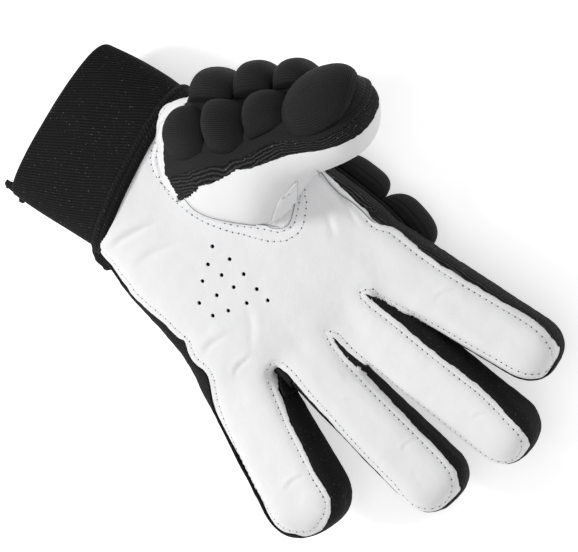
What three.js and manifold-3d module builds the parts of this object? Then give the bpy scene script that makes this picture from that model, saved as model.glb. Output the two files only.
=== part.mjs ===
// A left-hand field hockey glove lying on its padded back, palm up, in millimetres.
// +Y runs to the fingertips, -X to the thumb, +X to the little finger and +Z out of the palm.
// The origin is under the flattened foot of a foam cell near the middle of the back.
import * as THREE from 'three';
import { mergeVertices } from 'three/addons/utils/BufferGeometryUtils.js';
import Module from 'manifold-3d';

const wasm = await Module();
wasm.setup();

// Driving dimensions
const wall = 2;
const gap = 0.3;
const cutMargin = 3;
const cutDepth = 3.2;
const thumbTipRound = 14;
const thumbStationLength = 17;
const palmStationLength = 12;
const seamSpare = 0.04;
const padBaseLift = 0.4;
const padBaseThickness = 1.6;
const cellLift = 0.8;
const cellEdge = 1;
const thumbFullness = 2.6;
const backFullness = 4;
const ventDiameter = 1.6;
const ventSides = 5;
const ventColumns = 4;
const firstVent = [5.3, -16.3];
const ventStep = [0.9, 7.7];
const ventColumnStep = [7.4, 2.9];
const hemThickness = 1.4;

// Palm sections from the wrist to the knuckles: centre, width, height, heading of the width, roll,
// and the share of the half width that the leather covers towards the thumb and the little finger.
const palmTable = rows('x y z width height turn roll frontThumb frontLittle', [
  [3.3, -59.5, 24, 73.5, 37, 6, 0, 0.9, 0.93],
  [1.6, -48, 24.5, 81.5, 35, 3, 0, 0.9, 0.93],
  [2.5, -29.5, 25, 92, 32, -2, 0, 0.93, 0.95],
  [4.7, -6.5, 26, 99, 30, -3, 0, 0.97, 0.96],
  [6.3, 14, 26, 103.5, 29, -6.5, 0, 0.97, 0.97],
  [6.9, 26, 26.5, 103.5, 27, -11.5, 0, 0.95, 0.97],
  [7, 37.5, 27, 96, 23, -14, 0, 0.93, 0.97],
]);

// Fingers: base and tip of the axis, bow of its middle towards the little finger, section, roll,
// length of the rounded tip and the share of the half width under leather on each side.
const fingerTable = rows(
  'baseX baseY baseZ tipX tipY tipZ bow width tipWidth height roll round frontThumb frontLittle',
  [
    [-30.4, 22, 26, -39.4, 119.4, 28.5, 0, 24.5, 24, 22, 0, 13, 0.84, 0.95],
    [-8, 20, 26, -6.6, 131, 28.5, 0, 24, 25, 22, 14, 13, 0.84, 0.95],
    [20.5, 20, 26, 29.5, 118.5, 28.5, 0.5, 27, 28, 22, -3, 14, 0.9, 0.93],
    [37, 2, 25, 72.4, 84.5, 28.5, 0, 28.5, 34, 22, 12, 16, 0.9, 0.86],
  ],
);
const fingerNames = ['index', 'middle', 'ring', 'little'];

// Thumb sections from the buried base to the tip: centre, width across, height, and the angles
// round the section, in degrees, between which the ribbed gusset lies.
const thumbTable = rows('x y z width height turn roll gussetLow gussetHigh', [
  [-10.3, -58.6, 31, 12, 8, 47, 0, 46, 62],
  [-13.7, -53.1, 35, 36, 16, 47, 0, 48, 64],
  [-17.9, -44.5, 40, 46, 28, 47, 0, 54, 70],
  [-27, -32, 46, 52, 36, 47, 0, 69, 85],
  [-37.9, -19, 51, 50, 37, 46, 0, 72, 88],
  [-55.5, -11.3, 57, 37, 34, 44, 0, 60, 80],
  [-68.7, -0.9, 61.5, 31, 30, 42, 0, 54, 76],
  [-82.8, 9.2, 66, 25, 26, 42, 0, 38, 74],
]);

// Cuff sections from the mouth to the wrist seam.
const cuffTable = rows('x y z width height turn roll', [
  [8, -105, 21, 70, 33, 3, 0],
  [6.4, -90, 21.5, 71.5, 36.5, 3, 0],
  [4.8, -74, 22.3, 72.5, 38, 4, 0],
  [3.4, -59.9, 23.8, 73.5, 39, 6, 0],
]);
const cuffBandEnd = 2.55;
const cuffHemEnd = 2.9;

// Foam cells: the stations between which they lie and their angles round the section in degrees.
const thumbCells = rows('name start end low high height', [
  ['front_1', 2.35, 3.42, 88, 129, 11],
  ['front_2', 3.46, 4.48, 92, 130, 11],
  ['front_3', 4.52, 5.5, 90, 130, 11],
  ['rear_1', 2.95, 3.85, 132, 176, 12],
  ['rear_2', 3.89, 4.85, 133, 176, 12],
  ['rear_3', 4.89, 5.6, 133, 176, 12],
  ['tip', 5.64, 7, 84, 143, 10],
]);
const backColumns = rows('name low high height stations', [
  ['thumb_side', 190, 251, 9.5, [1.2, 2.3, 3.3, 4.45, 5.8]],
  ['middle', 252.5, 271.5, 14, [0.9, 1.75, 2.75, 3.95, 5.1, 5.9]],
  ['ring', 273, 289, 14, [0.7, 1.6, 2.6, 3.75, 4.9, 5.75]],
  ['little_side', 290.5, 338, 6, [1.2, 2.3, 3.3, 4.45, 5.6]],
]);

// The web between thumb and palm, as corners on the palm.
const webOutline = [[-36.3, -4.6], [-26.8, -5.8], [-16, -3.3], [-17.1, 1.7], [-22.8, 3], [-30, 0.1]];

// Loose ends of the cuff's side seam: place, length, radius and heading in degrees.
const seamEnds = rows('x y z length radius heading', [
  [43.3, -107, 19.5, 4, 1.5, 65],
  [45, -101, 15, 3, 1.2, 20],
]);

// A folded tab of the lining fabric under the wrist seam: place, size, thickness and turn.
const wristTab = { x: 43.4, y: -54, z: 13, length: 9, height: 11, thickness: 1.2, turn: -2 };

const colours = {
  leather: { color: 0xe9e9ea, roughness: 0.62 },
  pad: { color: 0x2f3032, roughness: 0.85 },
  stretch: { color: 0x1c1c1e, roughness: 0.9 },
  rib: { color: 0x19191b, roughness: 0.9 },
  elastic: { color: 0x161618, roughness: 0.9 },
};

function rows(columns, values) {
  const names = columns.split(' ');
  return values.map((value) => Object.fromEntries(names.map((name, i) => [name, value[i]])));
}

// The row of a table at a station between its rows, on a smooth curve through every column.
function blend(table, station) {
  const last = table.length - 1;
  const i = Math.min(Math.max(Math.floor(station), 0), last - 1);
  const f = station - i;
  const [before, from] = [table[Math.max(i - 1, 0)], table[i]];
  const [to, after] = [table[i + 1], table[Math.min(i + 2, last)]];
  const row = {};
  for (const name of Object.keys(from)) {
    const slopeFrom = (to[name] - before[name]) / (i > 0 ? 2 : 1);
    const slopeTo = (after[name] - from[name]) / (i + 1 < last ? 2 : 1);
    row[name] = THREE.MathUtils.lerp(from[name], to[name], f * f * (3 - 2 * f))
      + slopeFrom * f * (1 - f) ** 2
      - slopeTo * f * f * (1 - f);
  }
  return row;
}

// A tube gives its section at each station: centre, heading along the tube and half sizes.
function tableTube(table, square, outerSides, innerSides) {
  const last = table.length - 1;
  const centre = (station) => {
    const row = blend(table, Math.min(Math.max(station, 0), last));
    return new THREE.Vector3(row.x, row.y, row.z);
  };
  const section = (station) => {
    const held = Math.min(Math.max(station, 0), last);
    const row = blend(table, held);
    const ahead = centre(held + 0.02).sub(centre(held - 0.02)).normalize();
    const stepLength = centre(Math.ceil(held) || 1).distanceTo(centre((Math.ceil(held) || 1) - 1));
    const middle = centre(held).addScaledVector(ahead, (station - held) * stepLength);
    return { row, middle, ahead, halfWidth: row.width / 2, halfHeight: row.height / 2 };
  };
  return { square, last, section, outerSides, innerSides };
}

function fingerTube(finger) {
  const base = new THREE.Vector3(finger.baseX, finger.baseY, finger.baseZ);
  const tip = new THREE.Vector3(finger.tipX, finger.tipY, finger.tipZ);
  const turn = THREE.MathUtils.radToDeg(Math.atan2(tip.y - base.y, tip.x - base.x)) - 90;
  const sideways = new THREE.Vector3(tip.y - base.y, base.x - tip.x, 0).normalize();
  const centre = (station) => base.clone().lerp(tip, station)
    .addScaledVector(sideways, finger.bow * 4 * station * (1 - station));
  const row = { ...finger, turn };
  const section = (station) => ({
    row,
    middle: centre(station),
    ahead: centre(station + 0.01).sub(centre(station - 0.01)).normalize(),
    halfWidth: THREE.MathUtils.lerp(finger.width, finger.tipWidth, station) / 2,
    halfHeight: finger.height / 2,
  });
  const length = base.distanceTo(tip);
  return { square: 2.9, length, section, outerSides: 12, innerSides: 8 };
}

function power(value, exponent) {
  return Math.sign(value) * Math.abs(value) ** exponent;
}

// A point at an angle round a section, lifted off its surface. Shrink closes a rounded tip.
function rim(tube, station, angle, lift = 0, shrink = 1) {
  const { row, middle, ahead, halfWidth, halfHeight } = tube.section(station);
  const [turn, roll] = [row.turn, row.roll].map(THREE.MathUtils.degToRad);
  const level = new THREE.Vector3(Math.cos(turn), Math.sin(turn), 0);
  const raised = new THREE.Vector3().crossVectors(level, ahead).normalize();
  const side = level.clone().multiplyScalar(Math.cos(roll)).addScaledVector(raised, -Math.sin(roll));
  const up = raised.multiplyScalar(Math.cos(roll)).addScaledVector(level, Math.sin(roll));
  const across = (halfWidth + lift) * shrink * power(Math.cos(angle), 2 / tube.square);
  const high = (halfHeight + lift) * shrink * power(Math.sin(angle), 2 / tube.square);
  return middle.clone().addScaledVector(side, across).addScaledVector(up, high);
}

// A closed surface through rings of points, with a fan at each end.
function loft(rings) {
  const count = rings[0].length;
  const points = rings.flat();
  const faces = [];
  for (let i = 0; i + 1 < rings.length; i += 1) {
    for (let j = 0; j < count; j += 1) {
      const k = (j + 1) % count;
      const [a, b, c, d] = [i * count + j, (i + 1) * count + j, (i + 1) * count + k, i * count + k];
      faces.push(a, b, c, a, c, d);
    }
  }
  for (const [ring, flip] of [[0, false], [rings.length - 1, true]]) {
    const middle = new THREE.Vector3();
    rings[ring].forEach((point) => middle.addScaledVector(point, 1 / count));
    points.push(middle);
    for (let j = 0; j < count; j += 1) {
      const [a, b] = [ring * count + j, ring * count + ((j + 1) % count)];
      faces.push(points.length - 1, flip ? b : a, flip ? a : b);
    }
  }
  return new THREE.BufferGeometry().setFromPoints(points).setIndex(faces);
}

function toSolid(geometry) {
  const bare = geometry.clone();
  bare.deleteAttribute('normal');
  bare.deleteAttribute('uv');
  const merged = mergeVertices(bare, 1e-4);
  return new wasm.Manifold(new wasm.Mesh({
    numProp: 3,
    vertProperties: Float32Array.from(merged.attributes.position.array),
    triVerts: Uint32Array.from(merged.index.array),
  }));
}

function toGeometry(solid) {
  const mesh = solid.getMesh();
  const geometry = new THREE.BufferGeometry();
  geometry.setAttribute('position', new THREE.BufferAttribute(mesh.vertProperties, mesh.numProp));
  geometry.setIndex(new THREE.BufferAttribute(mesh.triVerts, 1));
  return geometry;
}

function join(solids) {
  return solids.reduce((sum, solid) => sum.add(solid));
}

// Stations along a tube and their shrink: even steps, then closing steps round the tip. Extra
// lengthens the last step or the tip, and before adds a station ahead of the first.
function stations({ start = 0, end, steps, tip = 0, before = 0, extra = 0 }) {
  const places = before > 0 ? [[start - before, 1]] : [];
  for (let i = 0; i <= steps; i += 1) {
    const station = start + ((end - start) * i) / steps;
    places.push([i === steps && tip === 0 ? station + extra : station, 1]);
  }
  const tipSteps = 3;
  for (let i = 1; i <= tipSteps && tip > 0; i += 1) {
    const reach = Math.sin((i / tipSteps) * 0.47 * Math.PI);
    places.push([end + (tip + extra) * reach, (1 - reach ** 2.4) ** (1 / 2.4)]);
  }
  return places;
}

function tubeSolid(tube, places, lift = 0) {
  const sides = lift < 0 ? tube.innerSides : tube.outerSides;
  const angles = Array.from({ length: sides }, (_, i) => (i / sides) * 2 * Math.PI);
  return toSolid(loft(places.map(
    ([station, shrink]) => angles.map((angle) => rim(tube, station, angle, lift, shrink)),
  )));
}

// A strip of a tube's skin between two angles, from below its wall to a margin outside it.
function stripSolid(tube, places, arc, grow = 0, steps = 7) {
  return toSolid(loft(places.map(([station, shrink]) => {
    const [from, to] = arc(station);
    const angles = Array.from({ length: steps + 1 }, (_, i) => from + ((to - from) * i) / steps);
    const ring = angles.map((angle) => rim(tube, station, angle, cutMargin + grow, shrink));
    ring.push(rim(tube, station, to, -cutDepth - grow, shrink));
    ring.push(rim(tube, station, from, -cutDepth - grow, shrink));
    return ring;
  })));
}

// A foam cell on a tube: a square patch whose middle swells off the surface.
function cellGeometry(tube, cell, floor = -Infinity) {
  const marks = [-1, -0.73, 0, 0.73, 1];
  const last = marks.length - 1;
  const swell = (mark) => (1 - Math.abs(mark) ** cell.fullness) ** 0.5;
  const at = (u, v, lift) => {
    const station = THREE.MathUtils.lerp(cell.start, cell.end, (u + 1) / 2);
    const angle = THREE.MathUtils.degToRad(THREE.MathUtils.lerp(cell.low, cell.high, (v + 1) / 2));
    const point = rim(tube, station, angle, lift);
    point.z = Math.max(point.z, floor);
    return point;
  };
  const points = [];
  for (const top of [true, false]) {
    for (const u of marks) {
      for (const v of marks) {
        const foam = Math.max(cell.height * swell(u) * swell(v), cellEdge);
        points.push(at(u, v, cell.lift + (top ? foam : 0)));
      }
    }
  }
  const faces = [];
  const quad = (a, b, c, d) => faces.push(a, b, c, a, c, d);
  const size = marks.length;
  const index = (i, j, top) => (top ? 0 : size * size) + i * size + j;
  for (let i = 0; i < last; i += 1) {
    for (let j = 0; j < last; j += 1) {
      const corners = [[i, j], [i + 1, j], [i + 1, j + 1], [i, j + 1]];
      quad(...corners.map(([p, q]) => index(p, q, true)));
      quad(...corners.reverse().map(([p, q]) => index(p, q, false)));
    }
    for (const [side, turned] of [[0, false], [last, true]]) {
      const along = [index(i, side, false), index(i + 1, side, false)];
      const above = [index(i + 1, side, true), index(i, side, true)];
      quad(...(turned ? [...along, ...above].reverse() : [...along, ...above]));
      const around = [index(side, i, false), index(side, i + 1, false)];
      const over = [index(side, i + 1, true), index(side, i, true)];
      quad(...(turned ? [...around, ...over] : [...around, ...over].reverse()));
    }
  }
  return new THREE.BufferGeometry().setFromPoints(points).setIndex(faces);
}

const palmTube = tableTube(palmTable, 3, 20, 12);
const cuffTube = tableTube(cuffTable, 2.4, 20, 14);
const thumbTube = tableTube(thumbTable, 2.2, 16, 10);
const fingerTubes = fingerTable.map((finger) => fingerTube(finger));

function fingerPlaces(tube, lift) {
  const tip = tube.section(1).row.round / tube.length;
  return stations({ end: 1 - tip, steps: 2, tip, extra: lift / tube.length });
}

function palmPlaces(lift, before = 0) {
  return stations({ end: palmTube.last, steps: 7, before, extra: lift / palmStationLength });
}

function thumbPlaces(lift) {
  const tip = thumbTipRound / thumbStationLength;
  return stations({ end: thumbTube.last - tip, steps: 7, tip, extra: lift / thumbStationLength });
}

function fingers(lift) {
  return join(fingerTubes.map((tube) => tubeSolid(tube, fingerPlaces(tube, lift), lift)));
}

function hand(lift, before = 0) {
  return tubeSolid(palmTube, palmPlaces(lift, before), lift).add(fingers(lift));
}

// The angle of the front seam where the leather covers this share of the half width.
function seamAngle(share, square) {
  return Math.acos(share ** (square / 2));
}

// Seams are cut with solids grown by the gap, which is this angle round a section.
const spareAngle = (grow) => (grow / gap) * seamSpare;

const frontArc = (tube, grow) => (station) => {
  const { row } = tube.section(station);
  return [
    seamAngle(row.frontLittle, tube.square) - spareAngle(grow),
    Math.PI - seamAngle(row.frontThumb, tube.square) + spareAngle(grow),
  ];
};

// The strip between the front and back seams on the thumb side or the little-finger side.
const sideArc = (tube, thumbSide, grow) => (station) => {
  const { row } = tube.section(station);
  const share = thumbSide ? row.frontThumb : row.frontLittle;
  const half = seamAngle(share, tube.square) - seamSpare + spareAngle(grow);
  return thumbSide ? [Math.PI - half, Math.PI + half] : [-half, half];
};

function fingerStrip(i, arc, grow) {
  const tube = fingerTubes[i];
  return stripSolid(tube, fingerPlaces(tube, cutMargin + grow), arc(tube), grow);
}

function palmStrip(arc, grow) {
  return stripSolid(palmTube, palmPlaces(cutMargin + grow, 0.2), arc(palmTube), grow, 12);
}

function handFront(grow) {
  const arc = (tube) => frontArc(tube, grow);
  return join([palmStrip(arc, grow), ...fingerTubes.map((_, i) => fingerStrip(i, arc, grow))]);
}

function sideStrips(parts, grow) {
  return join(parts.map(([i, thumbSide]) => {
    const arc = (tube) => sideArc(tube, thumbSide, grow);
    return i === 'palm' ? palmStrip(arc, grow) : fingerStrip(i, arc, grow);
  }));
}

function vents() {
  const drills = [];
  for (let column = 0; column < ventColumns; column += 1) {
    for (let i = 0; i <= ventColumns - column; i += 1) {
      const drill = new THREE.CylinderGeometry(ventDiameter / 2, ventDiameter / 2, 20, ventSides);
      drill.rotateX(Math.PI / 2);
      drill.translate(
        firstVent[0] + column * ventColumnStep[0] + i * ventStep[0],
        firstVent[1] + column * ventColumnStep[1] + i * ventStep[1],
        40,
      );
      drills.push(toSolid(drill));
    }
  }
  return join(drills);
}

// A prism over the web outline, scaled about its middle, through the front of the palm.
function webPrism(grow) {
  const middle = new THREE.Vector2();
  const corners = webOutline.map(([x, y]) => new THREE.Vector2(x, y));
  corners.forEach((corner) => middle.addScaledVector(corner, 1 / corners.length));
  const outline = corners.map((corner) => {
    const away = corner.clone().sub(middle);
    return corner.addScaledVector(away.normalize(), grow);
  });
  const prism = new THREE.ExtrudeGeometry(new THREE.Shape(outline), { depth: 22, bevelEnabled: false });
  prism.translate(0, 0, 28);
  return toSolid(prism);
}

const group = new THREE.Group();

function place(name, geometry, slot) {
  const material = new THREE.MeshStandardMaterial({ ...colours[slot], metalness: 0 });
  const mesh = new THREE.Mesh(geometry, material);
  mesh.name = name;
  group.add(mesh);
}

// Places the main body of a cut piece. Slivers that the cuts leave along its seams are dropped.
function placeMain(name, solid, slot) {
  const bodies = solid.decompose().sort((a, b) => b.volume() - a.volume());
  place(name, toGeometry(bodies[0]), slot);
}

// The hand: one hollow skin of palm and fingers, open to the thumb and the cuff, cut along its seams.
const thumbInner = tubeSolid(thumbTube, thumbPlaces(-wall), -wall);
const handSkin = hand(0).subtract(hand(-wall, 0.5)).subtract(thumbInner);
const leather = handSkin.intersect(handFront(0)).subtract(vents());
placeMain('palm_leather', leather.subtract(webPrism(gap)), 'leather');
placeMain('thumb_web_gusset', leather.intersect(webPrism(0)), 'leather');

const fabric = handSkin.subtract(handFront(gap));
const strips = [
  { name: 'thumb_side_gusset', slot: 'rib', parts: [['palm', true], [0, true]] },
  { name: 'little_side_strip', slot: 'stretch', parts: [['palm', false], [3, false]] },
];
for (let i = 0; i + 1 < fingerNames.length; i += 1) {
  const name = `fourchette_${fingerNames[i]}_${fingerNames[i + 1]}`;
  strips.push({ name, slot: 'stretch', parts: [[i, false], [i + 1, true]] });
}
let free = fabric;
for (const { name, slot, parts } of strips) {
  placeMain(name, free.intersect(sideStrips(parts, 0)), slot);
  free = free.subtract(sideStrips(parts, gap));
}
placeMain('back_fabric', free, 'stretch');

// The thumb: a tapered skin set into the palm, cut into leather, ribbed gusset and pad backing.
const cuffPlaces = stations({ end: cuffHemEnd + 0.04, steps: 4 });
const cuffClear = tubeSolid(cuffTube, cuffPlaces, hemThickness + gap);
const thumbSkin = tubeSolid(thumbTube, thumbPlaces(0))
  .subtract(thumbInner)
  .subtract(hand(gap))
  .subtract(cuffClear);
const thumbArc = (from, to) => (station) => {
  const { row } = thumbTube.section(station);
  return [from, to].map((edge) => THREE.MathUtils.degToRad(edge(row)));
};
const thumbStrip = (from, to) => stripSolid(
  thumbTube,
  thumbPlaces(cutMargin),
  thumbArc(from, to),
);
const seamGap = 1;
placeMain('thumb_rib_gusset', thumbSkin.intersect(
  thumbStrip((row) => row.gussetLow, (row) => row.gussetHigh),
), 'rib');
placeMain('thumb_pad_base', thumbSkin.intersect(
  thumbStrip((row) => row.gussetHigh + seamGap, () => 215),
), 'pad');
placeMain('thumb_leather', thumbSkin.subtract(
  thumbStrip((row) => row.gussetLow - seamGap, () => 215 + seamGap),
), 'leather');
for (const cell of thumbCells) {
  const foam = toSolid(cellGeometry(thumbTube, { ...cell, fullness: thumbFullness, lift: cellLift }));
  placeMain(`thumb_cell_${cell.name}`, foam.subtract(cuffClear), 'pad');
}

// The padded back: a stitched base and foam cells, flattened where they meet the ground.
const baseTop = padBaseLift + padBaseThickness;
const baseArc = () => [188, 352].map(THREE.MathUtils.degToRad);
const baseStrip = stripSolid(palmTube, stations({ start: 0.5, end: 5.9, steps: 6 }), baseArc, 0, 10);
placeMain('back_pad_base', tubeSolid(palmTube, palmPlaces(0), baseTop)
  .subtract(hand(padBaseLift, 0.2))
  .intersect(baseStrip), 'pad');
const fingersInPad = fingers(baseTop + gap);
for (const column of backColumns) {
  for (let i = 0; i + 1 < column.stations.length; i += 1) {
    const cell = {
      start: column.stations[i] + 0.02,
      end: column.stations[i + 1] - 0.02,
      low: column.low,
      high: column.high,
      height: column.height,
      fullness: backFullness,
      lift: baseTop + cellLift,
    };
    const foam = toSolid(cellGeometry(palmTube, cell, 0)).subtract(fingersInPad);
    placeMain(`back_cell_${column.name}_${i + 1}`, foam, 'pad');
  }
}

// The elastic cuff, its gathered hem at the wrist seam and the seam ends at its edge.
function cuffRing(from, to, steps, lift) {
  const places = { start: from, end: to, steps };
  const outer = tubeSolid(cuffTube, stations(places), lift);
  return outer.subtract(tubeSolid(cuffTube, stations({ ...places, before: 0.3, extra: 0.3 }), -wall));
}
placeMain('cuff_band', cuffRing(0, cuffBandEnd, 3, 0), 'elastic');
placeMain('cuff_hem', cuffRing(cuffBandEnd + 0.03, cuffHemEnd, 2, hemThickness), 'elastic');

seamEnds.forEach((end, i) => {
  const roll = new THREE.CapsuleGeometry(end.radius, end.length, 2, 6);
  roll.rotateZ(THREE.MathUtils.degToRad(end.heading - 90));
  roll.translate(end.x, end.y, end.z);
  place(`cuff_seam_end_${i + 1}`, roll, 'elastic');
});
const tab = new THREE.BoxGeometry(wristTab.thickness, wristTab.length, wristTab.height);
tab.rotateZ(THREE.MathUtils.degToRad(wristTab.turn));
tab.translate(wristTab.x, wristTab.y, wristTab.z);
place('wrist_tab', tab, 'stretch');

export default group;
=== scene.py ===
import math

import bmesh
import bpy
import numpy as np
from mathutils import Matrix, Vector, noise
from mathutils.bvhtree import BVHTree


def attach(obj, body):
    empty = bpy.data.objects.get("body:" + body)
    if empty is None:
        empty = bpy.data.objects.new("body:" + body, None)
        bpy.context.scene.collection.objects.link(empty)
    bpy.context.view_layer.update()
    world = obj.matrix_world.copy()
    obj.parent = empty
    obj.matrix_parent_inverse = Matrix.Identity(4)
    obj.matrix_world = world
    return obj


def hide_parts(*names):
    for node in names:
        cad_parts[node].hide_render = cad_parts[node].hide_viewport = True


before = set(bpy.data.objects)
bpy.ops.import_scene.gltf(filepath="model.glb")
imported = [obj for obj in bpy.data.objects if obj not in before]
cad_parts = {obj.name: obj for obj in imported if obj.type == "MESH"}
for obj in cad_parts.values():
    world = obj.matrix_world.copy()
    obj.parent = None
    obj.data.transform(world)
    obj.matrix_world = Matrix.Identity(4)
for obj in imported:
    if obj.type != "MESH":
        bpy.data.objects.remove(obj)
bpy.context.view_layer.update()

scene = bpy.context.scene
mm = 0.001


def rows(columns, values):
    names = columns.split()
    return [dict(zip(names, value)) for value in values]


# Camera and room

camera = {"target": (0, 0, 30), "distance": 1100, "tilt": 18, "heading": 143, "roll": -128, "pixel": 0.4,
          "targetRight": -27, "targetUp": 18, "width": 578, "sensor": 36}  # the target's place is in pixels
room = {"floorSize": 6, "skyStrength": 0.36, "skyColour": (1, 1, 1, 1), "floorColour": (0.9, 0.9, 0.9, 1),
        "floorGlow": 0.55}
lamps = rows("name place size energy", [
    ("keyLight", (0.75, -1.0, 1.05), 0.4, 15),
    ("topLight", (-0.1, 0.25, 1.3), 1.0, 3.9),
])


def cameraFrame():
    tilt, heading, roll = [math.radians(camera[name]) for name in ("tilt", "heading", "roll")]
    flat = Vector((math.cos(heading), math.sin(heading), 0))
    back = flat * math.sin(tilt) + Vector((0, 0, math.cos(tilt)))
    level = (Vector((0, 1, 0)) - back * back.y).normalized()
    side = level.cross(back)
    right = side * math.cos(roll) - level * math.sin(roll)
    up = side * math.sin(roll) + level * math.cos(roll)
    aside = (right * camera["targetRight"] + up * camera["targetUp"]) * camera["pixel"]
    return Vector(camera["target"]) + back * camera["distance"] - aside, right, up, back


eyePlace, *eyeAxes = cameraFrame()


def setCamera():
    data = bpy.data.cameras.new("photoCamera")
    data.sensor_width = camera["sensor"]
    data.lens = camera["distance"] / camera["pixel"] * camera["sensor"] / camera["width"]
    data.clip_end = 20
    eye = bpy.data.objects.new("photoCamera", data)
    eye.matrix_world = Matrix.Translation(eyePlace * mm) @ Matrix(eyeAxes).transposed().to_4x4()
    scene.collection.objects.link(eye)
    scene.camera = eye


def setRoom():
    world = bpy.data.worlds.new("studio")
    world.use_nodes = True
    sky = world.node_tree.nodes["Background"]
    sky.inputs["Color"].default_value = room["skyColour"]
    sky.inputs["Strength"].default_value = room["skyStrength"]
    scene.world = world
    for lamp in lamps:
        data = bpy.data.lights.new(lamp["name"], "AREA")
        data.size = lamp["size"]
        data.energy = lamp["energy"]
        light = bpy.data.objects.new(lamp["name"], data)
        light.location = lamp["place"]
        light.rotation_euler = (-Vector(lamp["place"])).to_track_quat("-Z", "Y").to_euler()
        scene.collection.objects.link(light)
    scene.view_settings.view_transform = "Standard"
    scene.view_settings.look = "None"


# Finishes

class Wire:
    def __init__(self, finish, socket):
        self.finish = finish
        self.socket = socket

    def math(self, operation, *others):
        return self.finish.node("Math", {"operation": operation}, {0: self, **dict(enumerate(others, 1))})

    def __add__(self, other):
        return self.math("ADD", other)

    def __mul__(self, other):
        return self.math("MULTIPLY", other)

    __radd__ = __add__


class Finish:
    def __init__(self, name, **constants):
        self.material = bpy.data.materials.new(name)
        self.material.use_nodes = True
        self.nodes = self.material.node_tree.nodes
        self.links = self.material.node_tree.links
        self.shader = self.nodes["Principled BSDF"]
        for socket, value in constants.items():
            self.shader.inputs[socket.replace("_", " ")].default_value = value
        self.place = self.node("TexCoord", output=3)

    def node(self, kind, settings=None, sockets=None, output=0):
        made = self.nodes.new("ShaderNode" + kind)
        for name, value in (settings or {}).items():
            setattr(made, name, value)
        for name, value in (sockets or {}).items():
            self.plug(made.inputs[name], value)
        return Wire(self, made.outputs[output])

    def plug(self, socket, value):
        if isinstance(value, Wire):
            self.links.new(value.socket, socket)
        else:
            socket.default_value = value

    def mix(self, factor, low, high):
        return self.node("Mix", {"data_type": "RGBA"}, {0: factor, 6: low, 7: high}, 2)

    def noise(self, scale, detail):
        sockets = {"Vector": self.place, "Scale": scale, "Detail": detail, "Roughness": 0.55}
        return self.node("TexNoise", {}, sockets)

    def flecks(self, scale):
        ramp = self.node("ValToRGB", {}, {0: self.noise(scale, 1.0)})
        for element, position in zip(ramp.socket.node.color_ramp.elements, (0.68, 0.74)):
            element.position = position
        return ramp

    def bump(self, height, strength, distance):
        return self.node("Bump", {}, {"Height": height, "Strength": strength, "Distance": distance})

    def feed(self, name, value):
        self.plug(self.shader.inputs[name], value)


def grey(value):
    return (value, value, value * 1.01, 1)


lint = grey(0.32)
weavePitch = 0.8


def leatherFinish():
    look = Finish("whiteLeather", Specular_IOR_Level=0.35)
    grain = look.node("TexVoronoi", {"feature": "DISTANCE_TO_EDGE"}, {"Vector": look.place, "Scale": 1400.0})
    pores = look.noise(2600.0, 2.0)
    cloud = look.noise(60.0, 4.0)
    handled = look.noise(18.0, 2.0)
    look.feed("Base Color", look.mix(cloud * 0.5 + handled * 0.5, grey(0.85), grey(0.92)))
    look.feed("Roughness", 0.55 + cloud * 0.16)
    look.feed("Normal", look.bump(grain * 1.5 + pores * 0.5 + cloud * 0.8, 0.22, 0.00025))
    return look.material


def padFinish(name, mapped):
    look = Finish(name, Specular_IOR_Level=0.25)
    place = look.node("UVMap", {"uv_map": "weave"}) if mapped else look.place
    turns = 2 * math.pi / (weavePitch if mapped else weavePitch * mm)  # the weave map is in millimetres
    threads, picks = [(look.node("SeparateXYZ", {}, {0: place}, axis) * turns).math("SINE") * 0.5 + 0.5
                      for axis in (0, 1)]
    weave = threads * picks
    cloud = look.noise(140.0, 4.0)
    tone = weave * 0.8 + cloud * 0.2
    # On the foam cells the tone is multiplied by the "relief" layer, which holds painted shade on the rims
    # and right flanks.
    if mapped:
        tone = tone * look.node("Attribute", {"attribute_name": "relief"}, output=2)
    look.feed("Base Color", look.mix(tone, grey(0.0015), grey(0.037)))
    look.feed("Roughness", 0.62 + cloud * 0.25)
    look.feed("Normal", look.bump(weave, 0.7, 0.0003))
    return look.material


def stretchFinish(name, low, high):
    look = Finish(name, Specular_IOR_Level=0.2)
    fuzz = look.noise(2200.0, 3.0)
    cloud = look.noise(160.0, 4.0)
    tone = look.mix(fuzz * 0.55 + cloud * 0.4, grey(low), grey(high))
    look.feed("Base Color", look.mix(look.flecks(1300.0) * 0.22, tone, lint))
    look.feed("Roughness", 0.75 + cloud * 0.2)
    look.feed("Normal", look.bump(fuzz + cloud, 0.5, 0.0003))
    return look.material


def ribFinish(name, low, high, fluff):
    look = Finish(name, Specular_IOR_Level=0.22)
    relief = look.node("Attribute", {"attribute_name": "relief"}, output=2)
    fuzz = look.noise(1800.0, 3.0)
    # Painted highlight on the rib tops and painted shade in the valleys, following the "relief" layer.
    tone = look.mix(relief * relief * (0.35 + fuzz * 0.9), grey(low), grey(high))
    look.feed("Base Color", look.mix(look.flecks(1200.0) * relief * fluff, tone, lint))
    look.feed("Roughness", 0.7 + fuzz * 0.25)
    look.feed("Normal", look.bump(fuzz, 0.6, 0.0003))
    return look.material


def plainFinish(name, low, high, roughness):
    look = Finish(name)
    cloud = look.noise(900.0, 3.0)
    look.feed("Base Color", look.mix(cloud, grey(low), grey(high)))
    look.feed("Roughness", roughness + cloud * 0.1)
    return look.material


# Tubes: sections of the hand, thumb and cuff in millimetres, as in the frame

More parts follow.
